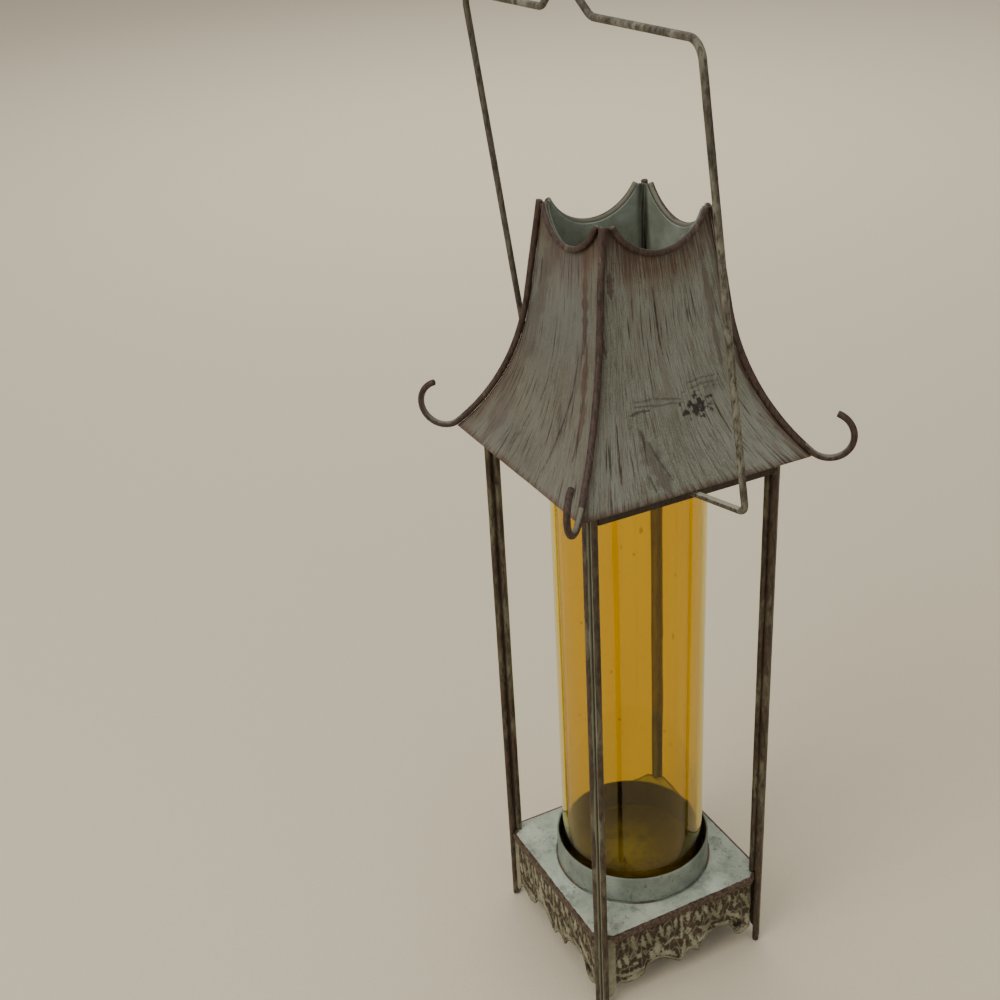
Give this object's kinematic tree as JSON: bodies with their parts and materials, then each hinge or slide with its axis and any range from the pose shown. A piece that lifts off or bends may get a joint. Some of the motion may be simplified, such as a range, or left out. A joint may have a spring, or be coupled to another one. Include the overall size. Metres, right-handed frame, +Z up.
{
  "type": "hanging lantern",
  "caption": "Pagoda-shaped hanging lantern with an amber glass chimney, rod posts, a flared roof with hooked corners and a swinging wire bail.",
  "frame": {"origin": "centre of the footprint, on the floor under the post rods", "axes": "+Z up, -Y the front, towards which the bail leans; +X the right-hand side, with one of the bail's pivots"},
  "size_m": [0.1932, 0.1496, 0.509],
  "materials": {
    "verdigris_sheet": "pale green-grey patina, worn and speckled",
    "stamped_apron": "brown in the recesses, rubbed grey-green on the relief",
    "roof_sheet": "grey-green patina streaked with brown",
    "roof_rod": "dark brown, worn",
    "post_rod": "brown and grey-green, worn",
    "dark_rail": "dark brown",
    "bail_wire": "grey-green over brown, speckled",
    "amber_glass": "clear amber, a little dusty"
  },
  "bodies": {
    "frame": {"base_plate": "verdigris_sheet", "glass_collar": "verdigris_sheet", "apron_right": "stamped_apron", "apron_back": "stamped_apron", "apron_left": "stamped_apron", "apron_front": "stamped_apron", "post_rod_right_a": "post_rod", "post_rod_right_b": "post_rod", "post_rod_back_a": "post_rod", "post_rod_back_b": "post_rod", "post_rod_left_a": "post_rod", "post_rod_left_b": "post_rod", "post_rod_front_a": "post_rod", "post_rod_front_b": "post_rod", "inner_rod_back_right": "post_rod", "inner_rod_back_left": "post_rod", "inner_rod_front_left": "post_rod", "inner_rod_front_right": "post_rod", "top_rail_right": "dark_rail", "top_rail_back": "dark_rail", "top_rail_left": "dark_rail", "top_rail_front": "dark_rail", "roof_panel_right": "roof_sheet", "roof_panel_back": "roof_sheet", "roof_panel_left": "roof_sheet", "roof_panel_front": "roof_sheet", "hip_rod_back_right": "roof_rod", "hip_rod_back_left": "roof_rod", "hip_rod_front_left": "roof_rod", "hip_rod_front_right": "roof_rod", "rim_wire_right": "roof_rod", "rim_wire_back": "roof_rod", "rim_wire_left": "roof_rod", "rim_wire_front": "roof_rod"},
    "bail": {"bail": "bail_wire"},
    "chimney": {"glass_chimney": "amber_glass"}
  },
  "joints": [
    {"name": "bail_swing", "type": "hinge", "parent": "frame", "child": "bail", "pos_m": [0, 0, 0.2942], "axis": [1, 0, 0], "range_deg": [-170, 155]},
    {"name": "chimney_lift", "type": "slide", "parent": "frame", "child": "chimney", "axis": [0, 0, 1], "range_m": [0, 0.032]}
  ]
}
